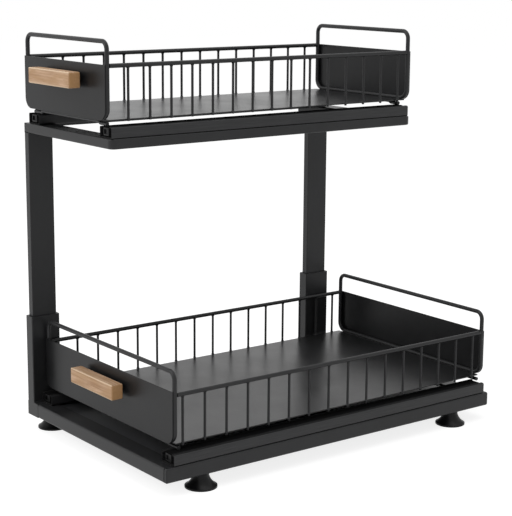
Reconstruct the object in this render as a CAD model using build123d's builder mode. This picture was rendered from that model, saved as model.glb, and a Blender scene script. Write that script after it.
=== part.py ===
"""Two-tier pull-out organizer for the cupboard under a sink.

Two flat posts on the left side carry a narrow upper frame over a wide base.
Each tier has a pair of ball slides with a wire and sheet basket on them.
The posts are tubes that stand in sleeves, so the upper tier can be raised.

Millimetres. +X is to the right of someone facing the handles, -Y is the handle
side, +Z is up. The origin is under the middle of the whole object, on the floor.
"""
import os

from build123d import *

os.makedirs("parts", exist_ok=True)

# Base frame, of rectangular tube
base_width = 253.0
base_depth = 400.0
base_rail_height = 14.0
rail_width = 20.0
rail_wall = 1.2
base_corner_radius = 2.0
end_plate_thickness = 1.2
panel_thickness = 1.0
panel_drop = 1.5

# Feet
foot_height = 14.0
foot_radius = 15.0
foot_rim = 1.6
foot_neck_radius = 7.5
foot_collar_height = 3.0
foot_sweep_radius = 15.0
foot_recess_radius = 10.0
foot_recess_depth = 1.0
stud_radius = 3.0
stud_reach = 8.0
stud_socket_depth = 5.0
hole_clearance = 0.05
right_foot_inset = 44.0
left_foot_inset = 20.0
right_foot_edge = 10.0
left_foot_edge = 14.5

# Posts and their sleeves
sleeve_width = 12.4
sleeve_length = 31.2
sleeve_wall = 1.6
sleeve_height = 88.5
sleeve_corner = 1.0
post_clearance = 0.7
post_wall = 1.2
post_corner = 0.6
post_height = 272.0
rear_post_inset = 19.0
lock_screw_height = 58.0
lock_screw_radius = 2.5
lock_screw_head_radius = 5.0
lock_screw_head_height = 2.6
lock_screw_socket_radius = 1.7
lock_screw_socket_depth = 1.6
lock_screw_tip_gap = 0.1

# Upper frame
upper_width = 161.5
upper_rear_inset = 36.9
upper_rail_height = 9.4
upper_corner_radius = 6.0
upper_bar_thickness = 3.0
inner_corner_radius = 1.5

# Ball slides, lying flat on the rails with their mouths up
slide_width = 20.0
slide_height = 10.5
slide_wall = 1.0
slide_corner = 1.6
slide_edge_inset = 0.8
lower_slide_front = 9.0
lower_slide_rear_inset = 6.0
lower_slide_overlap = 115.0
upper_slide_front = 1.0
upper_slide_rear_inset = 3.8
upper_slide_overlap = 106.0
left_slide_gap = 0.6
upper_left_slide_inset = 8.4
inner_member_wall = 1.2
inner_member_corner = 1.0
inner_member_rise = 0.4
member_lip_gap = 0.5
ball_radius = 1.5
ball_clearance = 0.1
cage_thickness = 0.4
cage_gap = 0.4
cage_hole_clearance = 0.05
cage_finger_margin = 0.5
balls_per_row = 5
stop_length = 3.0
stop_gap = 0.5
cage_end_margin = 2.0

# Baskets: side steps run in from the slides' outer sides, heights are above the end plates' underside
basket_lift = 5.5
lower_left_step = 1.3
lower_right_step = 7.9
lower_basket_front = 13.3
lower_basket_rear_overhang = 1.0
lower_rail_centre = 46.2
lower_bar_centre = 67.0
upper_left_step = 2.2
upper_right_step = 0.7
upper_basket_front = -4.2
upper_basket_rear_overhang = -0.6
upper_rail_centre = 48.8
upper_bar_centre = 70.1
plate_thickness = 1.0
plate_above_rail = 1.0
plate_side_inset = 1.0
loop_wire_radius = 2.1
loop_top_bend = 7.5
loop_bottom_bend = 9.5
grille_rail_radius = 2.0
side_wire_radius = 1.2
side_wire_tail = 1.0
floor_thickness = 1.0
lower_wire_count = 16
upper_wire_count = 15
lower_front_gap = 8.5
lower_rear_gap = 12.4
upper_left_front_gap = 14.8
upper_left_rear_gap = 18.5
upper_right_front_gap = 21.7
upper_right_rear_gap = 12.8
cross_wire_radius = 1.8
cross_wire_bend = 2.6
cross_wire_slant = 1.8
cross_wire_front = 4.2
cross_wire_rear = 4.2
lower_leg_step = 19.5
upper_leg_step = 23.0

# Handles
handle_length = 75.0
handle_height = 14.5
handle_depth = 12.3
handle_standoff = 3.5
handle_edge = 1.2
handle_height_share = 0.69
handle_screw_share = 0.3
handle_spacer_radius = 4.0
handle_screw_radius = 1.8
handle_screw_reach = 8.0
handle_screw_clearance = 0.2
handle_screw_head_radius = 3.8
handle_screw_head_height = 2.0

# One overrun serves every cut
overrun = 2.0

# Places in the width and the depth, from the middle of the whole object
foot_overhang = foot_radius - right_foot_edge
total_width = lock_screw_head_height + base_width + foot_overhang
left_face = lock_screw_head_height - total_width / 2
right_face = left_face + base_width

post_side_step = sleeve_wall + post_clearance
handle_reach = handle_standoff + handle_depth
upper_front_offset = post_side_step + upper_basket_front - handle_reach
lower_front_offset = lower_basket_front - handle_reach
front_reach = max(-upper_front_offset, -lower_front_offset, 0)
total_depth = front_reach + base_depth + lower_basket_rear_overhang
front_face = front_reach - total_depth / 2
rear_face = front_face + base_depth

# Depths that follow the base: upper frame, slides, what each slide travels, and baskets
upper_depth = base_depth - post_side_step - upper_rear_inset
lower_slide_length = base_depth - lower_slide_front - lower_slide_rear_inset
upper_slide_length = upper_depth - upper_slide_front - upper_slide_rear_inset
lower_travel = lower_slide_length - lower_slide_overlap
upper_travel = upper_slide_length - upper_slide_overlap
lower_basket_length = base_depth - lower_basket_front + lower_basket_rear_overhang
upper_basket_length = upper_depth - upper_basket_front + upper_basket_rear_overhang

# Heights
base_bottom = foot_height
base_top = base_bottom + base_rail_height
sleeve_top = base_top + sleeve_height
upper_bottom = base_top + post_height
upper_top = upper_bottom + upper_rail_height

# Upper frame's corners
upper_left = left_face + post_side_step
upper_right = upper_left + upper_width
upper_front = front_face + post_side_step
upper_rear = upper_front + upper_depth

# Posts
front_sleeve_y = front_face + sleeve_length / 2
rear_sleeve_y = rear_face - rear_post_inset - sleeve_length / 2
sleeve_x = left_face + sleeve_width / 2
post_width = sleeve_width - 2 * post_side_step
post_length = sleeve_length - 2 * post_side_step

# Slides' middles, and the baskets' sides
lower_left_slide = left_face + sleeve_width + left_slide_gap + slide_width / 2
lower_right_slide = right_face - slide_edge_inset - slide_width / 2
upper_left_slide = upper_left + upper_left_slide_inset + slide_width / 2
upper_right_slide = upper_right - slide_edge_inset - slide_width / 2
lower_basket_left = lower_left_slide - slide_width / 2 + lower_left_step
lower_basket_right = lower_right_slide + slide_width / 2 - lower_right_step
upper_basket_left = upper_left_slide - slide_width / 2 + upper_left_step
upper_basket_right = upper_right_slide + slide_width / 2 - upper_right_step

# Inside each slide: a ball race on both sides of the inner member, and the cage under it
cavity_width = slide_width - 2 * slide_wall
cavity_height = slide_height - 2 * slide_wall
race_width = 2 * (ball_radius + ball_clearance)
inner_member_width = cavity_width - 2 * race_width
slide_mouth = inner_member_width + 2 * member_lip_gap
row_step = (inner_member_width + race_width) / 2
cage_low = slide_wall + cage_gap
member_low = cage_low + cage_thickness + cage_gap
member_high = slide_height + inner_member_rise
ball_line = slide_wall + cavity_height / 2
finger_end = ball_line + ball_radius + cage_finger_margin


def save(part, label):
    """Name a finished piece and write its file."""
    part.label = label
    export_step(part, f"parts/{label}.step")


def frame_rail(label, x_low, x_high, y_low, y_high, z_low, height, corner, wedge, stud_places=()):
    """One tube of a mitred frame: a ring in plan, cut to the wedge that this rail fills."""
    middle = ((x_low + x_high) / 2, (y_low + y_high) / 2)
    width = x_high - x_low
    depth = y_high - y_low
    inner_width = width - 2 * rail_width
    inner_depth = depth - 2 * rail_width
    with BuildPart() as rail:
        with BuildSketch(Plane.XY.offset(z_low)):
            with Locations(middle):
                RectangleRounded(width, depth, corner)
                RectangleRounded(inner_width, inner_depth, inner_corner_radius, mode=Mode.SUBTRACT)
            with BuildLine():
                Polyline(*wedge, close=True)
            make_face(mode=Mode.INTERSECT)
        extrude(amount=height)
        with BuildSketch(Plane.XY.offset(z_low + rail_wall)):
            with Locations(middle):
                RectangleRounded(width - 2 * rail_wall, depth - 2 * rail_wall, corner - rail_wall)
                Rectangle(inner_width + 2 * rail_wall, inner_depth + 2 * rail_wall, mode=Mode.SUBTRACT)
            with BuildLine():
                Polyline(*wedge, close=True)
            make_face(mode=Mode.INTERSECT)
        extrude(amount=height - 2 * rail_wall, mode=Mode.SUBTRACT)
        if stud_places:
            with BuildSketch(Plane.XY.offset(z_low - overrun)):
                with Locations(*stud_places):
                    Circle(stud_radius + hole_clearance)
            extrude(amount=2 * overrun + rail_wall, mode=Mode.SUBTRACT)
    save(rail.part, label)


# Feet: where each stud goes up into its rail
foot_places = {
    "front_left": (left_face + left_foot_edge, front_face + left_foot_inset),
    "front_right": (right_face - right_foot_edge, front_face + right_foot_inset),
    "rear_left": (left_face + left_foot_edge, rear_face - left_foot_inset),
    "rear_right": (right_face - right_foot_edge, rear_face - right_foot_inset),
}
left_foot_places = (foot_places["front_left"], foot_places["rear_left"])
right_foot_places = (foot_places["front_right"], foot_places["rear_right"])

# Base: left rail with an end plate at each end, and three mitred rails
with BuildPart() as base_left_rail:
    with BuildSketch(Plane.XZ.offset(-(front_face + end_plate_thickness))):
        with Locations((left_face + rail_width / 2, base_bottom + base_rail_height / 2)):
            Rectangle(rail_width, base_rail_height)
            Rectangle(rail_width - 2 * rail_wall, base_rail_height - 2 * rail_wall, mode=Mode.SUBTRACT)
    extrude(amount=-(base_depth - 2 * end_plate_thickness))
    with BuildSketch(Plane.XY.offset(base_bottom - overrun)):
        with Locations(*left_foot_places):
            Circle(stud_radius + hole_clearance)
    extrude(amount=2 * overrun + rail_wall, mode=Mode.SUBTRACT)
save(base_left_rail.part, "base_left_rail")

with BuildPart() as base_end_plates:
    for plate_y in (front_face, rear_face - end_plate_thickness):
        with BuildSketch(Plane.XZ.offset(-plate_y)):
            with Locations((left_face + rail_width / 2, base_bottom + base_rail_height / 2)):
                Rectangle(rail_width, base_rail_height)
        extrude(amount=-end_plate_thickness)
save(base_end_plates.part, "base_end_plates")

base_inner_left = left_face + rail_width
base_inner_right = right_face - rail_width
base_inner_front = front_face + rail_width
base_inner_rear = rear_face - rail_width
base_ring = (left_face, right_face, front_face, rear_face, base_bottom, base_rail_height, base_corner_radius)

frame_rail("base_front_rail", *base_ring, (
    (base_inner_left, front_face), (right_face, front_face),
    (base_inner_right, base_inner_front), (base_inner_left, base_inner_front),
))
frame_rail("base_right_rail", *base_ring, (
    (right_face, front_face), (right_face, rear_face),
    (base_inner_right, base_inner_rear), (base_inner_right, base_inner_front),
), right_foot_places)
frame_rail("base_rear_rail", *base_ring, (
    (base_inner_left, rear_face), (right_face, rear_face),
    (base_inner_right, base_inner_rear), (base_inner_left, base_inner_rear),
))

# Base panel, welded in between the rails a little below their tops
with BuildPart() as base_panel:
    with BuildSketch(Plane.XY.offset(base_top - panel_drop - panel_thickness)):
        with Locations(((base_inner_left + base_inner_right) / 2, (base_inner_front + base_inner_rear) / 2)):
            RectangleRounded(
                base_inner_right - base_inner_left, base_inner_rear - base_inner_front, inner_corner_radius
            )
    extrude(amount=panel_thickness)
save(base_panel.part, "base_panel")

# Feet: a flared rubber cup on a steel stud that goes up into the rail
for corner_name, (foot_x, foot_y) in foot_places.items():
    with BuildPart() as foot:
        with BuildSketch(Plane.XZ.offset(-foot_y)):
            with BuildLine():
                Polyline(
                    (foot_x, foot_recess_depth),
                    (foot_x + foot_recess_radius, foot_recess_depth),
                    (foot_x + foot_recess_radius, 0),
                    (foot_x + foot_radius, 0),
                    (foot_x + foot_radius, foot_rim),
                )
                RadiusArc(
                    (foot_x + foot_radius, foot_rim),
                    (foot_x + foot_neck_radius, foot_height - foot_collar_height),
                    foot_sweep_radius,
                )
                Polyline(
                    (foot_x + foot_neck_radius, foot_height - foot_collar_height),
                    (foot_x + foot_neck_radius, foot_height),
                    (foot_x + stud_radius, foot_height),
                    (foot_x + stud_radius, foot_height - stud_socket_depth),
                    (foot_x, foot_height - stud_socket_depth),
                    (foot_x, foot_recess_depth),
                )
            make_face()
        revolve(axis=Axis((foot_x, foot_y, 0), (0, 0, 1)))
    save(foot.part, f"foot_{corner_name}")

with BuildPart() as foot_studs:
    with BuildSketch(Plane.XY.offset(foot_height - stud_socket_depth)):
        with Locations(*foot_places.values()):
            Circle(stud_radius)
    extrude(amount=stud_socket_depth + stud_reach)
save(foot_studs.part, "foot_studs")

# Posts: a sleeve welded on the base, a tube that slides in it, and its lock screw
lock_screw_z = base_top + lock_screw_height
for post_name, post_y in (("front", front_sleeve_y), ("rear", rear_sleeve_y)):
    with BuildPart() as sleeve:
        with BuildSketch(Plane.XY.offset(base_top)):
            with Locations((sleeve_x, post_y)):
                RectangleRounded(sleeve_width, sleeve_length, sleeve_corner)
                Rectangle(
                    sleeve_width - 2 * sleeve_wall, sleeve_length - 2 * sleeve_wall, mode=Mode.SUBTRACT
                )
        extrude(amount=sleeve_height)
        with BuildSketch(Plane.YZ.offset(left_face - overrun)):
            with Locations((post_y, lock_screw_z)):
                Circle(lock_screw_radius + hole_clearance)
        extrude(amount=overrun + sleeve_wall + post_clearance, mode=Mode.SUBTRACT)
    save(sleeve.part, f"{post_name}_post_sleeve")

    with BuildPart() as post:
        with BuildSketch(Plane.XY.offset(base_top)):
            with Locations((sleeve_x, post_y)):
                RectangleRounded(post_width, post_length, post_corner)
                Rectangle(post_width - 2 * post_wall, post_length - 2 * post_wall, mode=Mode.SUBTRACT)
        extrude(amount=post_height)
    save(post.part, f"{post_name}_post_tube")

with BuildPart() as post_lock_screws:
    with BuildSketch(Plane.YZ.offset(left_face - lock_screw_head_height)):
        with Locations((front_sleeve_y, lock_screw_z), (rear_sleeve_y, lock_screw_z)):
            Circle(lock_screw_head_radius)
    extrude(amount=lock_screw_head_height)
    chamfer(
        post_lock_screws.edges().filter_by(GeomType.CIRCLE).group_by(Axis.X)[0],
        lock_screw_head_height / 3,
    )
    with BuildSketch(Plane.YZ.offset(left_face)):
        with Locations((front_sleeve_y, lock_screw_z), (rear_sleeve_y, lock_screw_z)):
            Circle(lock_screw_radius)
    extrude(amount=sleeve_wall + post_clearance - lock_screw_tip_gap)
    with BuildSketch(Plane.YZ.offset(left_face - lock_screw_head_height)):
        with Locations((front_sleeve_y, lock_screw_z), (rear_sleeve_y, lock_screw_z)):
            RegularPolygon(lock_screw_socket_radius, 6)
    extrude(amount=lock_screw_socket_depth, mode=Mode.SUBTRACT)
save(post_lock_screws.part, "post_lock_screws")

# Upper frame: three mitred rails with rounded right corners, and a flat bar that closes its left side
upper_inner_right = upper_right - rail_width
upper_inner_front = upper_front + rail_width
upper_inner_rear = upper_rear - rail_width
upper_ring = (
    upper_left - 2 * rail_width, upper_right, upper_front, upper_rear,
    upper_bottom, upper_rail_height, upper_corner_radius,
)

with BuildPart() as upper_left_rail:
    with BuildSketch(Plane.XY.offset(upper_top - upper_bar_thickness)):
        with Locations((upper_left + rail_width / 2, (upper_inner_front + upper_inner_rear) / 2)):
            Rectangle(rail_width, upper_inner_rear - upper_inner_front)
    extrude(amount=upper_bar_thickness)
save(upper_left_rail.part, "upper_left_rail")

frame_rail("upper_front_rail", *upper_ring, (
    (upper_left + end_plate_thickness, upper_front), (upper_right, upper_front),
    (upper_inner_right, upper_inner_front), (upper_left + end_plate_thickness, upper_inner_front),
))
frame_rail("upper_right_rail", *upper_ring, (
    (upper_right, upper_front), (upper_right, upper_rear),
    (upper_inner_right, upper_inner_rear), (upper_inner_right, upper_inner_front),
))
frame_rail("upper_rear_rail", *upper_ring, (
    (upper_left + end_plate_thickness, upper_rear), (upper_right, upper_rear),
    (upper_inner_right, upper_inner_rear), (upper_left + end_plate_thickness, upper_inner_rear),
))

# The same plates close the rails' left ends and the posts' tops
with BuildPart() as upper_end_plates:
    with BuildSketch(Plane.YZ.offset(upper_left)):
        with Locations(
            (upper_front + rail_width / 2, upper_bottom + upper_rail_height / 2),
            (upper_rear - rail_width / 2, upper_bottom + upper_rail_height / 2),
        ):
            Rectangle(rail_width, upper_rail_height)
    extrude(amount=end_plate_thickness)
    with BuildSketch(Plane.XY.offset(upper_bottom - end_plate_thickness)):
        with Locations((sleeve_x, front_sleeve_y), (sleeve_x, rear_sleeve_y)):
            Rectangle(post_width - 2 * post_wall, post_length - 2 * post_wall)
    extrude(amount=end_plate_thickness)
save(upper_end_plates.part, "upper_end_plates")


def ball_slide(tier, side, middle_x, slide_front, length, z_low, travel):
    """One telescopic slide: channel on the rail, ball cage and inner member; gives its balls' places."""
    slide_rear = slide_front + length
    member_front = slide_front + stop_gap
    member_rear = slide_rear - stop_length - stop_gap

    with BuildPart() as channel:
        with BuildSketch(Plane.XZ.offset(-slide_front)):
            with Locations((middle_x, z_low + slide_height / 2)):
                RectangleRounded(slide_width, slide_height, slide_corner)
                RectangleRounded(cavity_width, cavity_height, slide_corner - slide_wall, mode=Mode.SUBTRACT)
            with Locations((middle_x, z_low + slide_height)):
                Rectangle(slide_mouth, 3 * slide_wall, mode=Mode.SUBTRACT)
        extrude(amount=-length)
    save(channel.part, f"{tier}_{side}_slide_channel")

    with BuildPart() as member:
        with BuildSketch(Plane.XZ.offset(-member_front)):
            with Locations((middle_x, z_low + (member_low + member_high) / 2)):
                RectangleRounded(inner_member_width, member_high - member_low, inner_member_corner)
            with Locations((middle_x, z_low + (member_low + member_high) / 2 - inner_member_wall)):
                Rectangle(
                    inner_member_width - 2 * inner_member_wall, member_high - member_low, mode=Mode.SUBTRACT
                )
        extrude(amount=-(member_rear - member_front))
    save(member.part, f"{tier}_{side}_slide_member")

    cage_front = slide_front + cage_end_margin + travel / 2
    cage_rear = member_rear - travel / 2 - cage_end_margin
    ball_pitch = (cage_rear - cage_front) / balls_per_row
    ball_ys = [cage_front + ball_pitch * (i + 0.5) for i in range(balls_per_row)]
    rows = (middle_x - row_step, middle_x + row_step)
    with BuildPart() as cage:
        with BuildSketch(Plane.XZ.offset(-cage_front)):
            with Locations((middle_x, z_low + cage_low + cage_thickness / 2)):
                Rectangle(2 * row_step + cage_thickness, cage_thickness)
            with Locations(*[(row_x, z_low + (cage_low + finger_end) / 2) for row_x in rows]):
                Rectangle(cage_thickness, finger_end - cage_low)
        extrude(amount=-(cage_rear - cage_front))
        with BuildSketch(Plane.YZ.offset(middle_x - slide_width / 2)):
            with Locations(*[(y, z_low + ball_line) for y in ball_ys]):
                Circle(ball_radius + cage_hole_clearance)
        extrude(amount=slide_width, mode=Mode.SUBTRACT)
    save(cage.part, f"{tier}_{side}_ball_cage")
    return [(row_x, y, z_low + ball_line) for y in ball_ys for row_x in rows]


def slide_stops(tier, slide_middles, slide_rear, z_low):
    """The two blocks that close the channels of one tier at the rear."""
    with BuildPart() as stops:
        with BuildSketch(Plane.XZ.offset(stop_length - slide_rear)):
            with Locations(*[(middle_x, z_low + slide_height / 2) for middle_x in slide_middles]):
                RectangleRounded(cavity_width, cavity_height, slide_corner - slide_wall)
        extrude(amount=-stop_length)
    save(stops.part, f"{tier}_slide_stops")


def basket(tier, left, right, basket_front, length, z_low, rail_centre, bar_centre,
           left_wires, right_wires, slide_z, slide_middles, leg_step):
    """One basket: two wire end loops with plates, side grilles, floor, cross wires and handle."""
    middle_x = (left + right) / 2
    basket_rear = basket_front + length
    front_loop = basket_front + plate_thickness + loop_wire_radius
    rear_loop = basket_rear - plate_thickness - loop_wire_radius
    loop_left = left + loop_wire_radius
    loop_right = right - loop_wire_radius
    rail_z = z_low + rail_centre
    bar_z = z_low + bar_centre
    loop_low = z_low + loop_wire_radius
    plate_height = rail_centre + plate_above_rail
    handle_z = z_low + plate_height * handle_height_share
    screw_step = handle_length * handle_screw_share
    screw_places = [(middle_x - screw_step, handle_z), (middle_x + screw_step, handle_z)]

    for end, loop_y in (("front", front_loop), ("rear", rear_loop)):
        with BuildPart() as loop:
            with BuildLine(Plane.XZ.offset(-loop_y)) as loop_path:
                FilletPolyline(
                    (loop_left, loop_low), (loop_right, loop_low), (loop_right, bar_z), (loop_left, bar_z),
                    radius=[loop_bottom_bend, loop_bottom_bend, loop_top_bend, loop_top_bend], close=True,
                )
            with BuildSketch(Plane((middle_x, loop_y, bar_z), x_dir=(0, 1, 0), z_dir=(1, 0, 0))):
                Circle(loop_wire_radius)
            sweep(path=loop_path.wire())
        save(loop.part, f"{tier}_{end}_loop")

    for end, plate_y in (("front", basket_front), ("rear", basket_rear - plate_thickness)):
        with BuildPart() as plate:
            with BuildSketch(Plane.XZ.offset(-plate_y)) as plate_outline:
                with Locations((middle_x, z_low + plate_height / 2)):
                    Rectangle(right - left - 2 * plate_side_inset, plate_height)
                fillet(
                    plate_outline.vertices().group_by(Axis.Y)[0],
                    loop_bottom_bend + loop_wire_radius - plate_side_inset,
                )
            extrude(amount=-plate_thickness)
            if end == "front":
                with BuildSketch(Plane.XZ.offset(overrun - plate_y)):
                    with Locations(*screw_places):
                        Circle(handle_screw_radius + handle_screw_clearance)
                extrude(amount=-(plate_thickness + 2 * overrun), mode=Mode.SUBTRACT)
        save(plate.part, f"{tier}_{end}_plate")

    floor_width = right - left - 2 * (loop_wire_radius + side_wire_radius)
    floor_front = front_loop + loop_wire_radius
    floor_rear = rear_loop - loop_wire_radius
    with BuildPart() as floor:
        with BuildSketch(Plane.XY.offset(z_low)):
            with Locations((middle_x, (floor_front + floor_rear) / 2)):
                Rectangle(floor_width, floor_rear - floor_front)
        extrude(amount=floor_thickness)
    save(floor.part, f"{tier}_basket_floor")

    for side, rail_x, wire_ys in (("left", loop_left, left_wires), ("right", loop_right, right_wires)):
        with BuildPart() as grille:
            with BuildSketch(Plane.XZ.offset(-floor_front)):
                with Locations((rail_x, rail_z)):
                    Circle(grille_rail_radius)
            extrude(amount=-(floor_rear - floor_front))
            with BuildSketch(Plane.XY.offset(z_low - side_wire_tail)):
                with Locations(*[(rail_x, front_loop + y) for y in wire_ys]):
                    Circle(side_wire_radius)
            extrude(amount=side_wire_tail + rail_centre)
        save(grille.part, f"{tier}_{side}_grille")

    # Cross wires run under the floor, step down, and end in feet on top of the slides' inner members
    left_contact, right_contact = slide_middles
    left_leg = left + leg_step
    right_leg = right - leg_step
    foot_z = slide_z + member_high + cross_wire_radius
    cross_z = z_low - cross_wire_radius
    with BuildPart() as cross_wires:
        for wire_y in (front_loop + cross_wire_front, rear_loop - cross_wire_rear):
            with BuildLine(Plane.XZ.offset(-wire_y)) as wire_path:
                FilletPolyline(
                    (left_contact, foot_z), (left_leg - cross_wire_slant, foot_z), (left_leg, cross_z),
                    (right_leg, cross_z), (right_leg + cross_wire_slant, foot_z), (right_contact, foot_z),
                    radius=cross_wire_bend,
                )
            with BuildSketch(Plane((left_contact, wire_y, foot_z), x_dir=(0, 1, 0), z_dir=(1, 0, 0))):
                Circle(cross_wire_radius)
            sweep(path=wire_path.wire())
    save(cross_wires.part, f"{tier}_cross_wires")

    # Handle: a wooden block on two spacers, screwed on from inside the basket
    handle_back = basket_front - handle_standoff
    handle_front = handle_back - handle_depth
    with BuildPart() as handle:
        with BuildSketch(Plane.XZ.offset(-handle_front)):
            with Locations((middle_x, handle_z)):
                Rectangle(handle_length, handle_height)
        extrude(amount=-handle_depth)
        fillet(handle.edges(), handle_edge)
        with BuildSketch(Plane.XZ.offset(-handle_back)):
            with Locations(*screw_places):
                Circle(handle_screw_radius + handle_screw_clearance)
        extrude(amount=handle_screw_reach + handle_screw_clearance, mode=Mode.SUBTRACT)
    save(handle.part, f"{tier}_wood_handle")

    with BuildPart() as spacers:
        with BuildSketch(Plane.XZ.offset(-handle_back)):
            with Locations(*screw_places):
                Circle(handle_spacer_radius)
                Circle(handle_screw_radius + handle_screw_clearance, mode=Mode.SUBTRACT)
        extrude(amount=-handle_standoff)
    save(spacers.part, f"{tier}_handle_spacers")

    with BuildPart() as screws:
        with BuildSketch(Plane.XZ.offset(-(basket_front + plate_thickness))):
            with Locations(*screw_places):
                Circle(handle_screw_head_radius)
        extrude(amount=-handle_screw_head_height)
        chamfer(
            screws.edges().filter_by(GeomType.CIRCLE).group_by(Axis.Y)[-1],
            handle_screw_head_height / 3,
        )
        with BuildSketch(Plane.XZ.offset(-(basket_front + plate_thickness))):
            with Locations(*screw_places):
                Circle(handle_screw_radius)
        extrude(amount=plate_thickness + handle_standoff + handle_screw_reach)
    save(screws.part, f"{tier}_handle_screws")


def wire_steps(count, front_gap, rear_gap, basket_length):
    """Places of a grille's upright wires, behind the front loop's centre."""
    span = basket_length - 2 * (plate_thickness + loop_wire_radius)
    pitch = (span - front_gap - rear_gap) / (count - 1)
    return [front_gap + i * pitch for i in range(count)]


def slide_balls(tier, places):
    """All the balls of one tier's two slides."""
    with BuildPart() as balls:
        with Locations(*places):
            Sphere(ball_radius)
    save(balls.part, f"{tier}_slide_balls")


lower_slide_y = front_face + lower_slide_front
upper_slide_y = upper_front + upper_slide_front
lower_slides = (lower_left_slide, lower_right_slide)
upper_slides = (upper_left_slide, upper_right_slide)
lower_balls = []
upper_balls = []
for side, lower_x, upper_x in zip(("left", "right"), lower_slides, upper_slides):
    lower_balls += ball_slide(
        "lower", side, lower_x, lower_slide_y, lower_slide_length, base_top, lower_travel
    )
    upper_balls += ball_slide(
        "upper", side, upper_x, upper_slide_y, upper_slide_length, upper_top, upper_travel
    )
slide_balls("lower", lower_balls)
slide_balls("upper", upper_balls)
slide_stops("lower", lower_slides, lower_slide_y + lower_slide_length, base_top)
slide_stops("upper", upper_slides, upper_slide_y + upper_slide_length, upper_top)

lower_wires = wire_steps(lower_wire_count, lower_front_gap, lower_rear_gap, lower_basket_length)
basket(
    "lower", lower_basket_left, lower_basket_right, front_face + lower_basket_front, lower_basket_length,
    base_top + slide_height + basket_lift, lower_rail_centre, lower_bar_centre,
    lower_wires, lower_wires, base_top, lower_slides, lower_leg_step,
)
basket(
    "upper", upper_basket_left, upper_basket_right, upper_front + upper_basket_front, upper_basket_length,
    upper_top + slide_height + basket_lift, upper_rail_centre, upper_bar_centre,
    wire_steps(upper_wire_count, upper_left_front_gap, upper_left_rear_gap, upper_basket_length),
    wire_steps(upper_wire_count, upper_right_front_gap, upper_right_rear_gap, upper_basket_length),
    upper_top, upper_slides, upper_leg_step,
)
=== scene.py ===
"""Finishes, rounded tubes, sheets, welds, fittings and studio for the two-tier pull-out organizer."""

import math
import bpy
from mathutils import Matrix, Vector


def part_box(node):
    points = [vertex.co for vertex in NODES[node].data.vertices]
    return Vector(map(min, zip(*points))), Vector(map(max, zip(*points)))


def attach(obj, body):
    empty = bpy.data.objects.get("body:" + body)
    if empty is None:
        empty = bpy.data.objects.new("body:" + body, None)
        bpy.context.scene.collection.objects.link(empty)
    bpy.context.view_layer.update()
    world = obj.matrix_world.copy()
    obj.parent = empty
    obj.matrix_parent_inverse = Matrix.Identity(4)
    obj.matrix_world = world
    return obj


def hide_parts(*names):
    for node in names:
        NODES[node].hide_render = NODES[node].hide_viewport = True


bl_info = {
    "name": "Pull-out Organizer Dressing",
    "version": (1, 0, 0),
    "blender": (4, 5, 0),
    "location": "View3D > Sidebar > Organizer",
    "description": "Dresses a two-tier pull-out organizer and sets it in a plain studio",
    "category": "Object",
}

import bpy
from bpy.props import FloatProperty, FloatVectorProperty, PointerProperty
from mathutils import Matrix, Vector

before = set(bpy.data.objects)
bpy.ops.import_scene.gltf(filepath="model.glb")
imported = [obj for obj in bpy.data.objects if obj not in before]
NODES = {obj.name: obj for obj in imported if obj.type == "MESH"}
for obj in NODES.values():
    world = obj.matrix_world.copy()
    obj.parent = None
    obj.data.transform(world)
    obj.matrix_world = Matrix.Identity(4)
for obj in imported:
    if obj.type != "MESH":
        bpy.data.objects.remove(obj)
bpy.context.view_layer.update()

TIERS = ("lower", "upper")
SIDES = ("left", "right")
ENDS = ("front", "rear")

# CAD nodes by the finish that they get
WIRE_PARTS = ("cross_wires", "front_loop", "rear_loop", "left_grille", "right_grille")
COATED_NODES = (
    "base_left_rail", "base_end_plates", "base_front_rail", "base_right_rail", "base_rear_rail",
    "front_post_sleeve", "rear_post_sleeve", "front_post_tube", "rear_post_tube",
    "upper_front_rail", "upper_right_rail", "upper_rear_rail", "upper_left_rail", "upper_end_plates",
    *(f"{tier}_{part}" for tier in TIERS for part in WIRE_PARTS),
)
PLATE_NODES = tuple(f"{tier}_{end}_plate" for tier in TIERS for end in ENDS)
FLOOR_NODES = tuple(f"{tier}_basket_floor" for tier in TIERS)
CHANNEL_NODES = (
    *(f"{tier}_{side}_slide_channel" for tier in TIERS for side in SIDES),
    *(f"{tier}_slide_stops" for tier in TIERS),
)
RUNNING_NODES = (
    *(f"{tier}_{side}_slide_member" for tier in TIERS for side in SIDES),
    *(f"{tier}_{side}_ball_cage" for tier in TIERS for side in SIDES),
)
BRIGHT_NODES = ("lower_slide_balls", "upper_slide_balls", "foot_studs")
SCREW_NODES = ("post_lock_screws", "lower_handle_spacers", "upper_handle_spacers")
FOOT_NODES = ("foot_front_left", "foot_front_right", "foot_rear_left", "foot_rear_right")

# Shading: edges under these angles look smooth, in degrees
SMOOTH_ANGLE = 40.0
SHEET_SMOOTH_ANGLE = 50.0

# Tubes: the seam sinks the face and the rounded edges that lie within its reach behind the face
INNER_CORNER = 0.0015
OUTER_CORNER_SEGMENTS = 6
INNER_CORNER_SEGMENTS = 3
TUBE_EDGE_SEGMENTS = 4
SEAM_DEPTH_IN_WIDTHS = 2.5
SEAM_REACH = 0.002

# Weld beads: thickness at the ends and in the dips, as shares of the full bead, and pitch in bead radii
BEAD_TIP = 0.55
BEAD_DIP = 0.84
BEAD_PITCH = 1.7
BEAD_SIDES = 10
POST_BEAD_SHARE = 0.8

# Weld collars on upright wires: each ring's reach beyond the wire and its height, in beads
UPRIGHT_RADIUS = 0.0012
UPRIGHT_SPACING = 0.005
COLLAR_SIDES = 12
COLLAR_RINGS = ((1.0, 0.0), (0.62, 0.45), (0.30, 1.05), (0.06, 1.9))
COLLAR_DEPTH_ON_RAIL = 0.96

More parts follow.
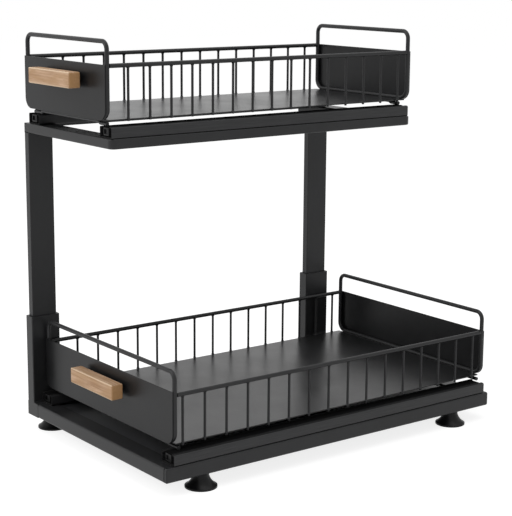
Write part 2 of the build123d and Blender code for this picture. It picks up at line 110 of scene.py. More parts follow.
# Pan-head screws: each ring's radius and rise, and the recess, as shares of the head's sizes
HEAD_SIDES = 32
HEAD_RINGS = ((1.0, 0.45), (0.93, 0.25), (0.78, 0.18), (0.5, 0.12))
SHANK_SHARE = 0.47
RECESS_HALF_WIDTH = 0.14
RECESS_REACH = 0.56
RECESS_FLOOR = 0.35

# Slide bumpers: they clear the inner member's wall and its lower edge, and stand a little out of it
BUMPER_WALL = 0.0013
BUMPER_GAP = 0.0002
BUMPER_PROUD = 0.0002
BUMPER_EDGE = 0.0005
BUMPER_LIP = 0.0009
BUMPER_HOLLOW = 0.0012

# Coat: ripples in one slow wave, the wave's depth in ripples, and the colour's share with dust and without
RIPPLES_IN_WAVE = 12
WAVE_DEPTH = 1.4
DUSTY_SHARE = 1.32
DUST = 0.001
CLEAN_SHARE = 0.82

# Steel and wood: how rubbed steel pales, and the share of the dark grain's colour in the pores
RUBBED_SHARE = 1.5
RUBBED_PALE = 0.01
PORE_SHARE = 0.62

# Studio
WHITE = (1.0, 1.0, 1.0, 1.0)
FLOOR_COLOR = (0.82, 0.82, 0.82, 1.0)
SENSOR_WIDTH = 36.0
KEY_PLACE, KEY_SIZE = Vector((-0.55, -1.9, 1.35)), 1.5
TOP_PLACE, TOP_SIZE = Vector((0.1, 0.1, 2.2)), 1.8
LAMP_TARGET = Vector((0.0, 0.0, 0.2))


class CoatSettings(bpy.types.PropertyGroup):
    """Black powder coat on the tubes, wires and sheets."""

    color: FloatVectorProperty(
        name="Coat colour", description="Colour of the powder coat", subtype="COLOR",
        size=3, min=0.0, max=1.0, default=(0.0165, 0.0168, 0.0178),
    )
    plate_roughness: FloatProperty(
        name="Plate roughness", description="Roughness of the coat on the baskets' end plates",
        min=0.05, max=1.0, default=0.34,
    )
    floor_roughness: FloatProperty(
        name="Floor roughness", description="Roughness of the coat on the baskets' floors",
        min=0.05, max=1.0, default=0.31,
    )
    panel_roughness: FloatProperty(
        name="Panel roughness", description="Roughness of the coat on the base panel",
        min=0.05, max=1.0, default=0.34,
    )
    tube_roughness: FloatProperty(
        name="Tube roughness", description="Roughness of the coat on tubes and wires",
        min=0.05, max=1.0, default=0.38,
    )
    gloss: FloatProperty(
        name="Gloss", description="Specular level of the coat on tubes and wires",
        min=0.0, max=1.0, default=0.28,
    )
    # Painted shade: the end plates get a darker copy of the coat, standing in for the shade on the rear
    # plates.
    plate_painted_shade_tone: FloatProperty(
        name="Plate tone", description="Share of the coat's colour on the end plates",
        min=0.1, max=4.0, default=0.6,
    )
    floor_tone: FloatProperty(
        name="Floor tone", description="Share of the coat's colour on the baskets' floors",
        min=0.1, max=4.0, default=0.5,
    )
    # Painted light: the base panel gets a lighter copy of the coat, standing in for the light that falls on
    # it below the baskets' fronts.
    panel_painted_light_tone: FloatProperty(
        name="Panel tone", description="Share of the coat's colour on the base panel",
        min=0.1, max=4.0, default=2.6,
    )
    panel_gloss: FloatProperty(
        name="Panel gloss", description="Specular level of the coat on the base panel",
        min=0.0, max=1.0, default=0.5,
    )
    plate_gloss: FloatProperty(
        name="Plate gloss", description="Specular level of the coat on the baskets' end plates",
        min=0.0, max=1.0, default=0.21,
    )
    floor_gloss: FloatProperty(
        name="Floor gloss", description="Specular level of the coat on the baskets' floors",
        min=0.0, max=1.0, default=0.35,
    )
    peel_scale: FloatProperty(
        name="Peel scale", description="How many ripples of the coat lie in a metre",
        min=50.0, max=5000.0, default=950.0,
    )
    peel_depth: FloatProperty(
        name="Peel depth", description="Height of the coat's ripples", unit="LENGTH",
        min=0.0, max=0.001, precision=6, default=0.00005,
    )


class SteelSettings(bpy.types.PropertyGroup):
    """Bare and black steel of the slides and screws."""

    # The runners' own black, made darker than the coat as painted shade for the shade they lie in under the
    # baskets.
    running_color: FloatVectorProperty(
        name="Runner colour", description="Colour of the slides' inner members", subtype="COLOR",
        size=3, min=0.0, max=1.0, default=(0.008, 0.008, 0.0085),
    )
    # Painted shade: this near-black colour goes on the slides' tops and ends, standing in for the shade
    # under the baskets and in the slides' front ends.
    painted_shade_color: FloatVectorProperty(
        name="Oil film", description="Colour of the dull film on the slides' tops and ends", subtype="COLOR",
        size=3, min=0.0, max=1.0, default=(0.0025, 0.0025, 0.0027),
    )
    bright_color: FloatVectorProperty(
        name="Bright colour", description="Colour of bare plated steel", subtype="COLOR",
        size=3, min=0.0, max=1.0, default=(0.62, 0.62, 0.63),
    )
    brush_scale: FloatProperty(
        name="Rolling marks", description="How many rolling marks lie across a metre",
        min=50.0, max=6000.0, default=1800.0,
    )


class WoodSettings(bpy.types.PropertyGroup):
    """Pale brown wood of the handles, with its grain along the block."""

    light_color: FloatVectorProperty(
        name="Light grain", description="Colour between the grain lines", subtype="COLOR",
        size=3, min=0.0, max=1.0, default=(0.67, 0.45, 0.29),
    )
    dark_color: FloatVectorProperty(
        name="Dark grain", description="Colour of the grain lines", subtype="COLOR",
        size=3, min=0.0, max=1.0, default=(0.37, 0.205, 0.105),
    )
    figure_color: FloatVectorProperty(
        name="Figure", description="Browner colour in the wood's long patches", subtype="COLOR",
        size=3, min=0.0, max=1.0, default=(0.44, 0.255, 0.12),
    )
    # Painted highlight: this paler colour goes on the rounded edges between the front or back and the top or
    # bottom, for the light they catch.
    painted_highlight_color: FloatVectorProperty(
        name="Worn edge", description="Paler colour along the rounded edges", subtype="COLOR",
        size=3, min=0.0, max=1.0, default=(0.80, 0.62, 0.43),
    )
    end_color: FloatVectorProperty(
        name="End grain", description="Browner colour of the block's ends", subtype="COLOR",
        size=3, min=0.0, max=1.0, default=(0.62, 0.34, 0.145),
    )
    edge_radius: FloatProperty(
        name="Edge radius", description="Radius of the block's edges", unit="LENGTH",
        min=0.0002, max=0.004, precision=5, default=0.0012,
    )
    grain_scale: FloatProperty(
        name="Grain scale", description="How many grain lines lie across a metre",
        min=20.0, max=2000.0, default=420.0,
    )


class FormSettings(bpy.types.PropertyGroup):
    """Rounded edges of the tubes and sheets, weld beads and small fittings."""

    tube_rounding: FloatProperty(
        name="Tube rounding", description="Radius of the base tube's long edges", unit="LENGTH",
        min=0.0002, max=0.004, precision=5, default=0.0018,
    )
    upper_rounding: FloatProperty(
        name="Upper rounding", description="Radius of the upper tube's long edges", unit="LENGTH",
        min=0.0002, max=0.004, precision=5, default=0.0014,
    )
    upper_corner: FloatProperty(
        name="Upper corner", description="Radius of the upper frame's corners, seen from above",
        unit="LENGTH", min=0.001, max=0.015, precision=5, default=0.006,
    )
    base_corner: FloatProperty(
        name="Base corner", description="Radius of the base's corners, seen from above",
        unit="LENGTH", min=0.0005, max=0.015, precision=5, default=0.0015,
    )
    seam_width: FloatProperty(
        name="Seam width", description="Half the width of the open seam beside the base's corners",
        unit="LENGTH", min=0.0001, max=0.002, precision=5, default=0.0006,
    )
    seam_place: FloatProperty(
        name="Seam place", description="How far the seam lies from the corner's rounding",
        unit="LENGTH", min=0.0005, max=0.02, precision=5, default=0.0027,
    )
    tube_bead: FloatProperty(
        name="Tube bead", description="Radius of the weld beads at the posts", unit="LENGTH",
        min=0.0002, max=0.004, precision=5, default=0.0011,
    )
    wire_bead: FloatProperty(
        name="Wire bead", description="How far a weld stands out round an upright wire", unit="LENGTH",
        min=0.0001, max=0.002, precision=5, default=0.0006,
    )
    plate_corner: FloatProperty(
        name="Plate corner", description="Radius of a plate's lower corners", unit="LENGTH",
        min=0.001, max=0.03, precision=5, default=0.0106,
    )
    plate_rise: FloatProperty(
        name="Plate rise", description="How far the lower front sheet reaches above its CAD plate",
        unit="LENGTH", min=0.0, max=0.01, precision=5, default=0.0026,
    )
    sheet_edge: FloatProperty(
        name="Sheet edge", description="Radius of the plates' edges", unit="LENGTH",
        min=0.00005, max=0.0005, precision=5, default=0.00028,
    )
    bumper_depth: FloatProperty(
        name="Bumper depth", description="Length of the rubber bumper in a slide's front end",
        unit="LENGTH", min=0.002, max=0.03, precision=4, default=0.009,
    )


class StudioSettings(bpy.types.PropertyGroup):
    """Camera, floor and lamps."""

    camera_place: FloatVectorProperty(
        name="Camera place", description="Where the camera stands", subtype="TRANSLATION",
        unit="LENGTH", size=3, default=(1.14468, -0.86285, 0.47047),
    )
    camera_azimuth: FloatProperty(
        name="Camera azimuth", description="Turn of the view from straight along +Y",
        subtype="ANGLE", default=math.radians(53.0),
    )
    camera_pitch: FloatProperty(
        name="Camera pitch", description="How far the view looks down", subtype="ANGLE",
        default=math.radians(11.7),
    )
    camera_roll: FloatProperty(
        name="Camera roll", description="Turn of the picture about the view", subtype="ANGLE",
        default=math.radians(0.41),
    )
    lens: FloatProperty(
        name="Lens", description="Focal length for a picture 36 mm wide", min=10.0, max=300.0,
        default=102.783,
    )
    key_power: FloatProperty(
        name="Key power", description="Power of the front lamp", subtype="POWER", min=0.0,
        default=17.0,
    )
    top_power: FloatProperty(
        name="Top power", description="Power of the lamp overhead", subtype="POWER", min=0.0,
        default=14.0,
    )
    fill_level: FloatProperty(
        name="Fill level", description="Strength of the room's light on the object",
        min=0.0, max=2.0, default=0.45,
    )
    floor_glow: FloatProperty(
        name="Floor glow", description="Strength of the floor's white, as the camera sees it",
        min=0.5, max=2.0, default=1.63,
    )
    floor_share: FloatProperty(
        name="Floor share", description="How much of the floor's white is glow and not lamplight",
        min=0.0, max=1.0, default=0.5,
    )
    floor_half: FloatProperty(
        name="Floor half width", description="Half the width of the floor", unit="LENGTH",
        min=1.0, default=6.0,
    )


class NodeTree:
    """Adds nodes and links to a material or a world, emptied first."""

    def __init__(self, owner):
        owner.use_nodes = True
        self.tree = owner.node_tree
        self.tree.nodes.clear()

    def add(self, kind, **values):
        node = self.tree.nodes.new(kind)
        for name, value in values.items():
            setattr(node, name, value)
        return node

    def link(self, value, socket):
        """Links a socket to another, or sets a number or colour on it."""
        if isinstance(value, bpy.types.NodeSocket):
            self.tree.links.new(value, socket)
        else:
            socket.default_value = value

    def calculate(self, operation, *values):
        """The result of a Math node over sockets and numbers."""
        node = self.add("ShaderNodeMath", operation=operation)
        for value, socket in zip(values, node.inputs):
            self.link(value, socket)
        return node.outputs[0]


def object_points(nodes, scale=(1.0, 1.0, 1.0)):
    """The object's own coordinates, stretched by a Mapping node."""
    place = nodes.add("ShaderNodeTexCoord")
    mapping = nodes.add("ShaderNodeMapping")
    mapping.inputs["Scale"].default_value = scale
    nodes.link(place.outputs["Object"], mapping.inputs["Vector"])
    return mapping.outputs["Vector"]


def noise(nodes, points, scale, detail=2.0, roughness=0.5, distortion=0.0):
    """A noise factor over the given points."""
    node = nodes.add("ShaderNodeTexNoise")
    node.inputs["Scale"].default_value = scale
    node.inputs["Detail"].default_value = detail
    node.inputs["Roughness"].default_value = roughness
    node.inputs["Distortion"].default_value = distortion
    nodes.link(points, node.inputs["Vector"])
    return node.outputs["Fac"]


def spread(nodes, factor, low, high, start=0.3, end=0.7):
    """A factor's part from start to end, turned into a range from low to high."""
    node = nodes.add("ShaderNodeMapRange")
    node.inputs["From Min"].default_value = start
    node.inputs["From Max"].default_value = end
    node.inputs["To Min"].default_value = low
    node.inputs["To Max"].default_value = high
    nodes.link(factor, node.inputs["Value"])
    return node.outputs["Result"]


def mixed_color(nodes, factor, first, second):
    """Two colours mixed by a factor, each of them a socket or three numbers."""
    node = nodes.add("ShaderNodeMix", data_type="RGBA")
    nodes.link(factor, node.inputs["Factor"])
    for value, socket in ((first, node.inputs[6]), (second, node.inputs[7])):
        nodes.link(value if isinstance(value, bpy.types.NodeSocket) else (*value, 1.0), socket)
    return node.outputs[2]


def bumped(nodes, height, depth, strength=1.0, normal=None):
    """A surface normal roughened by a height, on top of another normal if one is given."""
    node = nodes.add("ShaderNodeBump")
    node.inputs["Strength"].default_value = strength
    node.inputs["Distance"].default_value = depth
    nodes.link(height, node.inputs["Height"])
    if normal is not None:
        nodes.link(normal, node.inputs["Normal"])
    return node.outputs["Normal"]


def principled(nodes):
    """The shader that a material's values go to, joined to its output."""
    shader = nodes.add("ShaderNodeBsdfPrincipled")
    output = nodes.add("ShaderNodeOutputMaterial")
    nodes.link(shader.outputs["BSDF"], output.inputs["Surface"])
    return shader


def coat_material(name, settings, roughness, gloss, tone=1.0):
    """Powder coat: fine orange peel, a slow change of gloss and a little dust in the colour.

    Tone is the share of the coat's colour that the surface shows; the plates' darker tone is painted shade
    and the base panel's lighter tone is painted light.
    """
    material = bpy.data.materials.new(name)
    nodes = NodeTree(material)
    shader = principled(nodes)
    points = object_points(nodes)
    peel = noise(nodes, points, settings.peel_scale, detail=3.0, roughness=0.55)
    wave = noise(nodes, points, settings.peel_scale / RIPPLES_IN_WAVE)
    patches = noise(nodes, points, scale=22.0, detail=4.0, roughness=0.6)
    dusty = tuple(min(1.0, c * tone * DUSTY_SHARE + DUST) for c in settings.color)
    clean = tuple(c * tone * CLEAN_SHARE for c in settings.color)
    color = mixed_color(nodes, spread(nodes, patches, 0.0, 1.0), clean, dusty)
    nodes.link(color, shader.inputs["Base Color"])
    dullness = spread(nodes, patches, roughness - 0.035, roughness + 0.045)
    nodes.link(dullness, shader.inputs["Roughness"])
    shader.inputs["Specular IOR Level"].default_value = gloss
    slow = bumped(nodes, wave, settings.peel_depth * WAVE_DEPTH, strength=0.5)
    nodes.link(bumped(nodes, peel, settings.peel_depth, strength=0.6, normal=slow), shader.inputs["Normal"])
    return material


def surface_turn(nodes):
    """How far a surface faces along X, Y and Z, each from 0 to 1."""
    place = nodes.add("ShaderNodeTexCoord")
    parts = nodes.add("ShaderNodeSeparateXYZ")
    nodes.link(place.outputs["Normal"], parts.inputs["Vector"])
    return [nodes.calculate("ABSOLUTE", part) for part in parts.outputs]


def rolled_steel_material(name, color, brush_scale, metallic, roughness, gloss, painted_shade_tint=None):
    """Steel with fine marks along its length; where a shade colour is given, painted shade darkens its tops
    and ends with that colour and full roughness.
    """
    material = bpy.data.materials.new(name)
    nodes = NodeTree(material)
    shader = principled(nodes)
    marks = noise(nodes, object_points(nodes, (1.0, 0.02, 1.0)), brush_scale, detail=3.0)
    blotches = noise(nodes, object_points(nodes), scale=60.0, detail=3.0)
    rubbed = tuple(min(1.0, c * RUBBED_SHARE + RUBBED_PALE) for c in color)
    shown = mixed_color(nodes, spread(nodes, marks, 0.0, 1.0), color, rubbed)
    dullness = spread(nodes, blotches, roughness - 0.06, roughness + 0.08)
    # Painted shade: faces that look up or along Y take the dark colour and full roughness, for the shade
    # under the baskets and in the front ends.
    if painted_shade_tint is not None:
        _, deep, upward = surface_turn(nodes)
        painted_shade_film = spread(nodes, nodes.calculate("MAXIMUM", deep, upward), 0.0, 1.0, start=0.75, end=0.95)
        shown = mixed_color(nodes, painted_shade_film, shown, painted_shade_tint)
        dullness = nodes.calculate("MAXIMUM", dullness, painted_shade_film)
    nodes.link(shown, shader.inputs["Base Color"])
    nodes.link(dullness, shader.inputs["Roughness"])
    shader.inputs["Metallic"].default_value = metallic
    shader.inputs["Specular IOR Level"].default_value = gloss
    nodes.link(bumped(nodes, marks, depth=0.00003, strength=0.5), shader.inputs["Normal"])
    return material


def wood_material(name, settings):
    """Straight fine grain along X, with slow figure, pores, a waxy sheen and a painted highlight along the
    long rounded edges.
    """
    material = bpy.data.materials.new(name)
    nodes = NodeTree(material)
    shader = principled(nodes)
    scale = settings.grain_scale
    grain = noise(
        nodes, object_points(nodes, (0.045, 1.0, 1.0)), scale, detail=6.0, roughness=0.62, distortion=0.4
    )
    figure = noise(nodes, object_points(nodes, (0.22, 1.0, 1.0)), scale / 3, detail=3.0, distortion=0.6)
    pores = noise(nodes, object_points(nodes, (0.07, 1.0, 1.0)), scale * 5)
    lined = mixed_color(
        nodes, spread(nodes, grain, 0.0, 1.0, start=0.36, end=0.66),
        settings.light_color, settings.dark_color,
    )
    figured = mixed_color(
        nodes, spread(nodes, figure, 0.0, 0.62, start=0.42, end=0.60), lined, settings.figure_color
    )
    pore_color = tuple(c * PORE_SHARE for c in settings.dark_color)
    pored = mixed_color(nodes, spread(nodes, pores, 0.0, 0.7, start=0.66, end=0.78), figured, pore_color)
    along, deep, upward = surface_turn(nodes)
    ended = mixed_color(
        nodes, spread(nodes, along, 0.0, 0.75, start=0.75, end=0.95), pored, settings.end_color
    )
    # Painted highlight on the edges that face both along Y and along Z
    painted_highlight_mask = spread(nodes, nodes.calculate("MULTIPLY", deep, upward), 0.0, 0.8, start=0.12, end=0.36)
    nodes.link(mixed_color(nodes, painted_highlight_mask, ended, settings.painted_highlight_color), shader.inputs["Base Color"])
    nodes.link(spread(nodes, grain, 0.48, 0.60), shader.inputs["Roughness"])
    shader.inputs["Specular IOR Level"].default_value = 0.4
    rough = bumped(nodes, pores, depth=0.00008, strength=0.4)
    nodes.link(bumped(nodes, grain, depth=0.0001, strength=0.35, normal=rough), shader.inputs["Normal"])
    return material


def rubber_material(name):
    """Dull black rubber with fine grit and a little dust."""
    material = bpy.data.materials.new(name)
    nodes = NodeTree(material)
    shader = principled(nodes)
    points = object_points(nodes)
    dust = noise(nodes, points, scale=90.0, detail=4.0)
    grit = noise(nodes, points, scale=2600.0)
    clean, dusty = (0.0035, 0.0035, 0.0038), (0.009, 0.009, 0.0095)
    nodes.link(mixed_color(nodes, spread(nodes, dust, 0.0, 1.0), clean, dusty), shader.inputs["Base Color"])
    nodes.link(spread(nodes, dust, 0.32, 0.46), shader.inputs["Roughness"])
    shader.inputs["Specular IOR Level"].default_value = 0.18
    nodes.link(bumped(nodes, grit, depth=0.00004, strength=0.6), shader.inputs["Normal"])
    return material


def dress(names, material):
    """Gives CAD nodes their finish."""
    for name in names:
        mesh = NODES[name].data
        mesh.materials.clear()
        mesh.materials.append(material)


def start_piece():
    """Nothing is selected or being edited before a piece is begun."""
    if bpy.context.object is not None and bpy.context.object.mode != "OBJECT":
        bpy.ops.object.mode_set(mode="OBJECT")
    bpy.ops.object.select_all(action="DESELECT")


def take(piece):
    """Selects one piece alone and makes it the active one."""
    start_piece()
    piece.select_set(True)
    bpy.context.view_layer.objects.active = piece


def settle():
    """Puts the selected piece's place, turn and size into its mesh."""
    bpy.ops.object.transform_apply(location=True, rotation=True, scale=True)


def clear_picks(piece):
    """Leaves edit mode with nothing of the piece's mesh selected, and gives the mesh."""
    bpy.ops.object.mode_set(mode="OBJECT")
    mesh = piece.data
    for group in (mesh.vertices, mesh.edges, mesh.polygons):
        group.foreach_set("select", [False] * len(group))
    return mesh


def pick_faces(piece, wanted):
    """In edit mode, selects the faces for which wanted(centre, normal) is true."""
    for face in clear_picks(piece).polygons:
        face.select = bool(wanted(face.center, face.normal))
    bpy.context.tool_settings.mesh_select_mode = (False, False, True)
    bpy.ops.object.mode_set(mode="EDIT")


def pick_edges(piece, wanted):
    """In edit mode, selects the edges for which wanted(first point, second point) is true."""
    mesh = clear_picks(piece)
    for edge in mesh.edges:
        first, second = (mesh.vertices[index] for index in edge.vertices)
        if wanted(first.co, second.co):
            edge.select = first.select = second.select = True
    bpy.context.tool_settings.mesh_select_mode = (False, True, False)
    bpy.ops.object.mode_set(mode="EDIT")


def pick_all():
    """Selects the whole mesh of the active piece, in edit mode."""
    bpy.ops.object.mode_set(mode="EDIT")
    bpy.ops.mesh.select_all(action="SELECT")


def extrude(step):
    """Draws the selected faces out by step."""
    bpy.ops.mesh.extrude_region_move(TRANSFORM_OT_translate={"value": step})


def bevel(radius, segments):
    """Rounds the selected edges, or chamfers them with one segment."""
    bpy.ops.mesh.bevel(offset=radius, segments=segments, affect="EDGES")


def near(first, second, slack=0.00002):
    """Whether two coordinates are the same, apart from rounding."""
    return abs(first - second) < slack


def solid_box(low, high):
    """The block that a piece is started from, between two corners."""
    start_piece()
    middle = tuple((a + b) / 2 for a, b in zip(low, high))
    bpy.ops.mesh.primitive_cube_add(size=1.0, location=middle)
    block = bpy.context.object
    block.scale = tuple(b - a for a, b in zip(low, high))
    settle()
    return block


def finish_piece(piece, name, body, material, angle=SMOOTH_ANGLE):
    """Turns the active piece's faces outwards, shades and names it, and lets it ride on its body."""
    pick_all()
    bpy.ops.mesh.normals_make_consistent(inside=False)
    bpy.ops.object.mode_set(mode="OBJECT")
    take(piece)
    settle()
    bpy.ops.object.shade_smooth_by_angle(angle=math.radians(angle))
    even = piece.modifiers.new("even", "WEIGHTED_NORMAL")
    even.keep_sharp = True
    bpy.ops.object.modifier_apply(modifier=even.name)
    piece.name = name
    piece.data.name = name
    piece.data.materials.clear()
    piece.data.materials.append(material)
    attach(piece, body)
    return piece


def join_pieces(pieces):
    """Several pieces made into one."""
    start_piece()
    for piece in pieces:
        piece.select_set(True)
    bpy.context.view_layer.objects.active = pieces[0]
    bpy.ops.object.join()
    return bpy.context.object


def copy_by(piece, step):
    """A copy of a modelled piece, with its own mesh, moved by step."""
    take(piece)
    bpy.ops.object.duplicate(linked=False)
    bpy.ops.transform.translate(value=step)
    return bpy.context.object


def tube_ring(left, low, high, width, outer_corner, rounding, end_chamfer):
    """A run of tube round three sides: along the front, back along the right and along the rear.

    It starts and ends at left; low and high are the corners of the whole frame.
    """
    front, rear, right = low.y, high.y, high.x
    inner_right = right - width
    ring = solid_box((left, front, low.z), (inner_right, front + width, high.z))
    pick_faces(ring, lambda c, n: n.x > 0.9)
    extrude((width, 0, 0))
    pick_faces(ring, lambda c, n: n.y > 0.9 and c.x > inner_right)
    extrude((0, rear - front - 2 * width, 0))
    extrude((0, width, 0))
    pick_faces(ring, lambda c, n: n.x < -0.9 and c.y > rear - width)
    extrude((left - inner_right, 0, 0))
    bpy.ops.mesh.select_all(action="SELECT")
    bpy.ops.mesh.remove_doubles(threshold=0.00001)
    bpy.ops.mesh.dissolve_limited(angle_limit=math.radians(1.0))
    corners = (
        (right, (front, rear), outer_corner, OUTER_CORNER_SEGMENTS),
        (inner_right, (front + width, rear - width), INNER_CORNER, INNER_CORNER_SEGMENTS),
    )
    for x, ys, radius, segments in corners:
        pick_edges(ring, lambda a, b: near(a.x, x) and near(b.x, x) and near(a.y, b.y)
                   and any(near(a.y, y) for y in ys))
        bevel(radius, segments)
    pick_edges(ring, lambda a, b: near(a.z, b.z) and (near(a.z, low.z) or near(a.z, high.z))
               and not (near(a.x, left) and near(b.x, left)))
    bevel(rounding, TUBE_EDGE_SEGMENTS)
    pick_edges(ring, lambda a, b: near(a.x, left) and near(b.x, left))
    bevel(end_chamfer, 1)
    return ring


def straight_tube(low, high, rounding, end_chamfer):
    """A tube along the depth, with rounded long edges."""
    tube = solid_box(low, high)
    pick_edges(tube, lambda a, b: not near(a.y, b.y))
    bevel(rounding, TUBE_EDGE_SEGMENTS)
    pick_edges(tube, lambda a, b: near(a.y, b.y) and (near(a.y, low[1]) or near(a.y, high[1])))
    bevel(end_chamfer, 1)
    return tube


def weld_bead(start, end, radius):
    """A rippled bead along a corner: a ring drawn along it in short steps, now fuller, now thinner."""
    start_piece()
    run = end - start
    turn = Vector((0.0, 0.0, 1.0)).rotation_difference(run).to_euler()
    bpy.ops.mesh.primitive_circle_add(
        vertices=BEAD_SIDES, radius=radius * BEAD_TIP, location=start, rotation=turn, fill_type="NGON"
    )
    bead = bpy.context.object
    settle()
    pick_all()
    size = BEAD_TIP
    steps = 2 * max(3, round(run.length / (BEAD_PITCH * radius)))
    for index in range(1, steps + 1):
        wanted = BEAD_TIP if index == steps else 1.0 if index % 2 else BEAD_DIP
        extrude(run / steps)
        ratio = wanted / size
        bpy.ops.transform.resize(
            value=(ratio, ratio, ratio), center_override=start + run * (index / steps)
        )
        size = wanted
    bpy.ops.object.mode_set(mode="OBJECT")
    return bead


def upright_places(grille):
    """Where a grille's upright wires stand along the depth, from the lowest points of its mesh."""
    points = [vertex.co for vertex in NODES[grille].data.vertices]
    lowest = min(point.z for point in points)
    depths = sorted(point.y for point in points if near(point.z, lowest))
    groups = [[depths[0]]]
    for depth in depths[1:]:
        if depth - groups[-1][-1] > UPRIGHT_SPACING:
            groups.append([])
        groups[-1].append(depth)
    return [(group[0] + group[-1]) / 2 for group in groups]


def bead_round_wire(x, y, z, bead, upward):
    """A small coved collar where an upright wire meets a rail (upward -1) or a floor (upward 1)."""
    start_piece()
    ring_radius = UPRIGHT_RADIUS + bead
    ring_rise = 0.0
    bpy.ops.mesh.primitive_circle_add(
        vertices=COLLAR_SIDES, radius=ring_radius, location=(x, y, z), fill_type="NGON"
    )
    collar = bpy.context.object
    settle()
    pick_all()
    for reach, height in COLLAR_RINGS[1:]:
        radius = UPRIGHT_RADIUS + bead * reach
        rise = bead * height
        extrude((0, 0, upward * (rise - ring_rise)))
        ratio = radius / ring_radius
        bpy.ops.transform.resize(value=(ratio, ratio, 1.0), center_override=(x, y, z))
        ring_radius, ring_rise = radius, rise
    bpy.ops.object.mode_set(mode="OBJECT")
    return collar


def pan_head_screw(centre, head_radius, head_height, shank_length):
    """A screw that faces +Y: a domed head with a cross recess, and its shank behind."""
    start_piece()
    bpy.ops.mesh.primitive_circle_add(vertices=HEAD_SIDES, radius=head_radius, fill_type="NGON")
    screw = bpy.context.object
    pick_all()
    radius = head_radius
    for share, rise in HEAD_RINGS:
        extrude((0, 0, head_height * rise))
        ratio = head_radius * share / radius
        bpy.ops.transform.resize(value=(ratio, ratio, 1.0), center_override=(0, 0, 0))
        radius = head_radius * share
    pick_faces(screw, lambda c, n: n.z < -0.9)
    bpy.ops.mesh.inset(thickness=head_radius - head_radius * SHANK_SHARE)
    extrude((0, 0, -shank_length))
    bpy.ops.object.mode_set(mode="OBJECT")
    half = head_radius * RECESS_HALF_WIDTH
    reach = head_radius * RECESS_REACH
    floor = head_height * RECESS_FLOOR
    blades = [
        solid_box((-reach, -half, floor), (reach, half, 2 * head_height)),
        solid_box((-half, -reach, floor), (half, reach, 2 * head_height)),
    ]
    for cutter in blades:
        cut = screw.modifiers.new("recess", "BOOLEAN")
        cut.operation = "DIFFERENCE"
        cut.object = cutter
        start_piece()
        bpy.context.view_layer.objects.active = screw
        bpy.ops.object.modifier_apply(modifier=cut.name)
    for cutter in blades:
        bpy.data.objects.remove(cutter, do_unlink=True)
    screw.rotation_euler = (math.radians(-90.0), 0.0, 0.0)
    screw.location = centre
    take(screw)
    settle()
    return screw


def slide_bumper(member, depth):
    """A rubber plug in the open front end of a slide's inner member, with a lip and a hollow face."""
    low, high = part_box(member)
    front = low.y - BUMPER_PROUD
    bumper = solid_box(
        (low.x + BUMPER_WALL, front, low.z + BUMPER_GAP),
        (high.x - BUMPER_WALL, low.y + depth, high.z - BUMPER_WALL),
    )
    pick_edges(bumper, lambda a, b: True)
    bevel(BUMPER_EDGE, 2)
    pick_faces(bumper, lambda c, n: n.y < -0.99 and near(c.y, front))
    bpy.ops.mesh.inset(thickness=BUMPER_LIP)
    extrude((0, BUMPER_HOLLOW, 0))
    bpy.ops.object.mode_set(mode="OBJECT")
    return bumper


class ORGANIZER_OT_coat(bpy.types.Operator):
    """Powder coat on the frames, posts, wires and sheets"""

    bl_idname = "organizer.coat"
    bl_label = "Powder Coat"

    def execute(self, context):
        coat = context.scene.organizer_coat
        dress(COATED_NODES, coat_material("black_coat_tube", coat, coat.tube_roughness, coat.gloss))
        # Darker copy of the coat on the end plates: painted shade
        dress(PLATE_NODES, coat_material(
            "black_coat_plate", coat, coat.plate_roughness, coat.plate_gloss, coat.plate_painted_shade_tone,
        ))
        dress(FLOOR_NODES, coat_material(
            "black_coat_floor", coat, coat.floor_roughness, coat.floor_gloss, coat.floor_tone,
        ))
        # Lighter copy of the coat on the base panel: painted light
        dress(("base_panel",), coat_material(
            "black_coat_panel", coat, coat.panel_roughness, coat.panel_gloss, coat.panel_painted_light_tone,
        ))
        return {"FINISHED"}


class ORGANIZER_OT_slides(bpy.types.Operator):
    """Finishes of the ball slides, studs and screws"""

    bl_idname = "organizer.slides"
    bl_label = "Slide Finishes"

    def execute(self, context):
        black = tuple(context.scene.organizer_coat.color)
        steel = context.scene.organizer_steel
        # Painted shade colour for the slides' tops and ends
        painted_shade_tint = tuple(steel.painted_shade_color)
        dress(CHANNEL_NODES, rolled_steel_material(
            "black_rolled_channel", black, steel.brush_scale,
            metallic=0.0, roughness=0.36, gloss=0.3, painted_shade_tint=painted_shade_tint,
        ))
        dress(RUNNING_NODES, rolled_steel_material(
            "black_runner", tuple(steel.running_color), steel.brush_scale,
            metallic=0.0, roughness=0.5, gloss=0.06, painted_shade_tint=painted_shade_tint,
        ))
        dress(BRIGHT_NODES, rolled_steel_material(
            "bright_steel", tuple(steel.bright_color), steel.brush_scale,
            metallic=1.0, roughness=0.26, gloss=0.5,
        ))
        dress(SCREW_NODES, rolled_steel_material(
            "black_screw_steel", black, steel.brush_scale,
            metallic=0.2, roughness=0.42, gloss=0.45,
        ))
        return {"FINISHED"}


class ORGANIZER_OT_handles(bpy.types.Operator):
    """Wood handle blocks with rounded edges"""

    bl_idname = "organizer.handles"
    bl_label = "Wood Handles"

    def execute(self, context):
        settings = context.scene.organizer_wood
        wood = wood_material("pale_brown_wood", settings)
        for tier in TIERS:
            block = solid_box(*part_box(f"{tier}_wood_handle"))
            pick_edges(block, lambda a, b: True)
            bevel(settings.edge_radius, 5)
            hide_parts(f"{tier}_wood_handle")
            finish_piece(block, f"{tier}_handle_block", f"{tier}_basket", wood)
        return {"FINISHED"}


class ORGANIZER_OT_feet(bpy.types.Operator):
    """Matt rubber on the feet"""

    bl_idname = "organizer.feet"
    bl_label = "Rubber Feet"

    def execute(self, context):
        dress(FOOT_NODES, rubber_material("black_rubber"))
        return {"FINISHED"}


